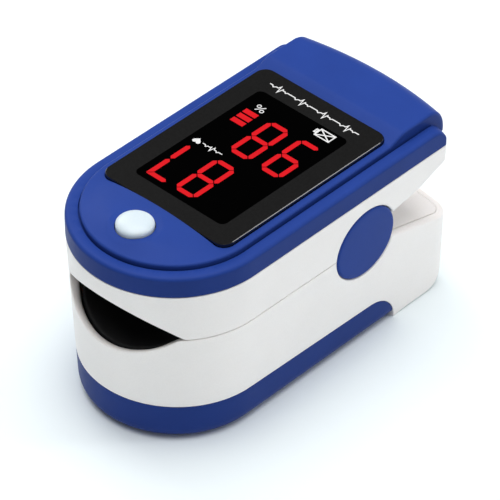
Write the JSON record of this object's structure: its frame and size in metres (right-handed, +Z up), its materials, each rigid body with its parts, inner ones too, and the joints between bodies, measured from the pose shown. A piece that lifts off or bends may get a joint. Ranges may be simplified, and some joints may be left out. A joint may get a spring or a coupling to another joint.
{
  "type": "fingertip pulse oximeter",
  "caption": "Clip-on fingertip sensor with sprung jaws, rubber-lined finger slot, display lid, domed button and sliding battery door.",
  "frame": {"origin": "middle of the flat base, on the surface it stands on and in the mirror plane", "axes": "+Y from the finger mouth to the squeeze tail, +Z up, X along the hinge pin"},
  "size_m": [0.031, 0.0602, 0.0339],
  "materials": {
    "body_white": "white moulded ABS, fine satin",
    "body_blue": "royal blue moulded ABS, fine satin",
    "button_white": "pale bluish white, satin dome",
    "display_glass": "dark acrylic window, polished",
    "display_black": "black display panel",
    "pad_rubber": "black silicone",
    "frame_white": "white moulded frame",
    "circuit_board": "green solder mask",
    "chip_black": "black epoxy",
    "clear_resin": "clear resin",
    "flex_amber": "amber polyimide",
    "cell_jacket": "printed jacket, plain; aluminium stands for a cell's average density",
    "contact_nickel": "nickel plated strip",
    "spring_steel": "bright wire and pins"
  },
  "bodies": {
    "lower_jaw": {"lower_case": "body_white", "inner_frame": "frame_white", "lower_finger_pad": "pad_rubber", "lower_tail_plate": "body_white", "sensor_board": "circuit_board", "photodiode": "chip_black", "battery_left": "cell_jacket", "battery_right": "cell_jacket", "battery_spring_left": "spring_steel", "battery_spring_right": "spring_steel", "contact_plate_front": "contact_nickel", "contact_plate_rear_left": "contact_nickel", "contact_plate_rear_right": "contact_nickel", "flex_cable": "flex_amber", "hinge_pin": "spring_steel", "torsion_spring_left": "spring_steel", "torsion_spring_right": "spring_steel", "hinge_cap_left": "body_blue", "hinge_cap_right": "body_blue"},
    "upper_jaw": {"upper_case": "body_white", "top_cover": "body_blue", "display_window": "display_glass", "display_module": "display_black", "main_board": "circuit_board", "control_chip": "chip_black", "tact_switch": "spring_steel", "upper_finger_pad": "pad_rubber", "emitter_board": "circuit_board", "emitter_led": "clear_resin", "upper_tail_plate": "body_white", "tail_screw_left": "spring_steel", "tail_screw_right": "spring_steel"},
    "power_button": {"power_button": "button_white"},
    "battery_door": {"battery_door": "body_blue"}
  },
  "joints": [
    {"name": "jaw_hinge", "type": "hinge", "parent": "lower_jaw", "child": "upper_jaw", "pos_m": [0, 0.0104, 0.0192], "axis": [-1, 0, 0], "range_deg": [0, 24], "stiffness_Nm_per_rad": 0.15, "springref_deg": -22.92, "deforming": ["torsion_spring_left", "torsion_spring_right", "flex_cable"]},
    {"name": "power_button_press", "type": "slide", "parent": "upper_jaw", "child": "power_button", "axis": [0, 0, -1], "range_m": [0, 0.0004], "stiffness_N_per_m": 300},
    {"name": "battery_door_slide", "type": "slide", "parent": "lower_jaw", "child": "battery_door", "axis": [0, -1, 0], "range_m": [0, 0.048]}
  ]
}
